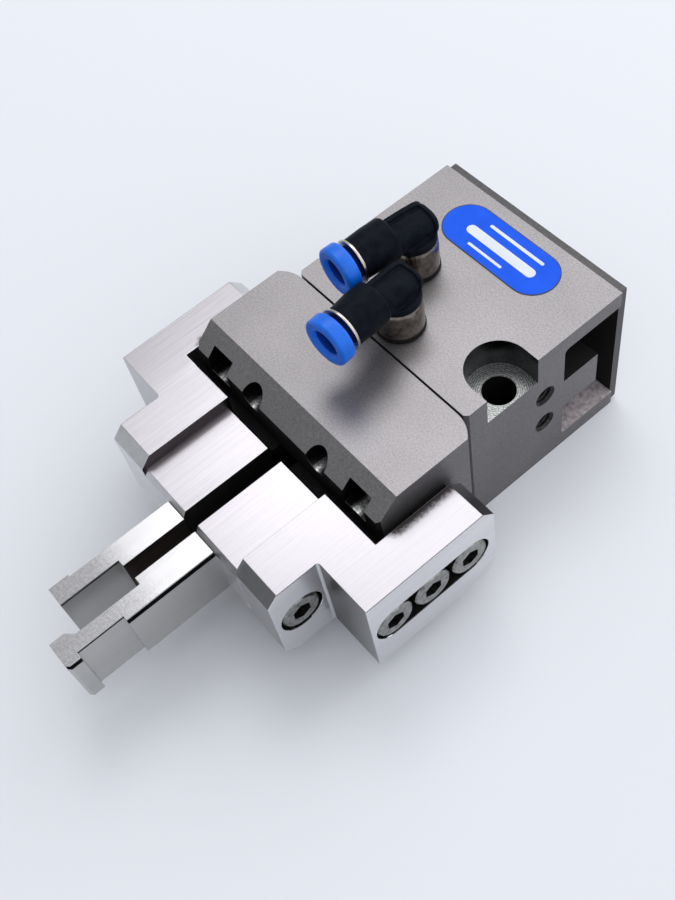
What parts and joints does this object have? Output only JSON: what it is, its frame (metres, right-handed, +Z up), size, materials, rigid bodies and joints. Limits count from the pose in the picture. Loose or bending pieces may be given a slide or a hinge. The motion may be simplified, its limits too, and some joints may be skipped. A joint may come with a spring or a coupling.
{
  "type": "two-jaw pneumatic gripper",
  "caption": "Parallel pneumatic gripper: a wedge-hook drive in a split grey housing slides two side-wrapping jaws with slim notched fingers; elbow push-in air fittings on top.",
  "frame": {"origin": "on the bottom face of the rear housing, midway between the axes of the two mounting holes", "axes": "+X across the jaws, towards the side with the threaded holes; +Y along the piston, from the fingers to the rear cover; +Z up, towards the air fittings"},
  "size_m": [0.062, 0.1002, 0.0441],
  "materials": {
    "anodised_grey": "matte blasted hard anodising",
    "anodised_dark": "matte dark anodising",
    "milled_aluminium": "brushed, fine lines along the jaw",
    "ground_steel": "ground",
    "nickel_plate": "satin nickel",
    "tool_steel": "machined",
    "hard_chrome": "polished",
    "bronze": "sintered",
    "magnet": "matte",
    "black_rubber": "matte",
    "black_plastic": "moulded, satin gloss",
    "blue_plastic": "moulded gloss",
    "label_blue": "printed film"
  },
  "bodies": {
    "housing": {"rear_housing": "anodised_grey", "front_housing": "anodised_grey", "rear_cover": "anodised_dark", "cover_screws": "nickel_plate", "housing_screws": "nickel_plate", "guide_pins": "nickel_plate", "housing_gasket": "black_rubber", "rod_bush": "bronze", "rod_seal": "black_rubber", "piston_bumper": "black_rubber", "fitting_stem_front": "nickel_plate", "fitting_stem_rear": "nickel_plate", "stem_seal_front": "black_rubber", "stem_seal_rear": "black_rubber", "label": "label_blue"},
    "drive": {"piston": "hard_chrome", "piston_seal": "black_rubber", "piston_magnet": "magnet", "wedge_block": "tool_steel", "wedge_screw": "tool_steel"},
    "left_jaw": {"base_jaw_left": "tool_steel", "jaw_bracket_left": "milled_aluminium", "wing_screws_left": "nickel_plate", "arm_screw_left": "nickel_plate", "finger_block_left": "milled_aluminium", "finger_left": "ground_steel", "finger_pins_left": "tool_steel"},
    "right_jaw": {"base_jaw_right": "tool_steel", "jaw_bracket_right": "milled_aluminium", "wing_screws_right": "nickel_plate", "arm_screw_right": "nickel_plate", "finger_block_right": "milled_aluminium", "finger_right": "ground_steel", "finger_pins_right": "tool_steel"},
    "front_elbow": {"elbow_front": "black_plastic", "clamp_ring_front": "nickel_plate", "tube_claw_front": "nickel_plate", "tube_seal_front": "black_rubber"},
    "front_collar": {"release_collar_front": "blue_plastic"},
    "rear_elbow": {"elbow_rear": "black_plastic", "clamp_ring_rear": "nickel_plate", "tube_claw_rear": "nickel_plate", "tube_seal_rear": "black_rubber"},
    "rear_collar": {"release_collar_rear": "blue_plastic"}
  },
  "joints": [
    {"name": "right_jaw_slide", "type": "slide", "parent": "housing", "child": "right_jaw", "axis": [1, 0, 0], "range_m": [-0.0008, 0.0027]},
    {"name": "left_jaw_slide", "type": "slide", "parent": "housing", "child": "left_jaw", "axis": [-1, 0, 0], "range_m": [-0.0008, 0.0027]},
    {"name": "piston_slide", "type": "slide", "parent": "housing", "child": "drive", "axis": [0, -1, 0], "range_m": [-0.00128, 0.00432]},
    {"name": "front_elbow_swivel", "type": "hinge", "parent": "housing", "child": "front_elbow", "pos_m": [0, -0.0047, 0.0364], "axis": [0, 0, 1], "range_deg": [0, 12]},
    {"name": "rear_elbow_swivel", "type": "hinge", "parent": "housing", "child": "rear_elbow", "pos_m": [-0.0071, 0.0048, 0.0364], "axis": [0, 0, 1], "range_deg": [-60, 0]},
    {"name": "front_collar_press", "type": "slide", "parent": "front_elbow", "child": "front_collar", "axis": [-0.0872, 0.9962, 0], "range_m": [0, 0.0007]},
    {"name": "rear_collar_press", "type": "slide", "parent": "rear_elbow", "child": "rear_collar", "axis": [0.0523, 0.9986, 0], "range_m": [0, 0.0007]}
  ],
  "couplings": [
    {"joint": "left_jaw_slide", "follows": "right_jaw_slide", "ratio": 1},
    {"joint": "piston_slide", "follows": "right_jaw_slide", "ratio": 1.6}
  ]
}
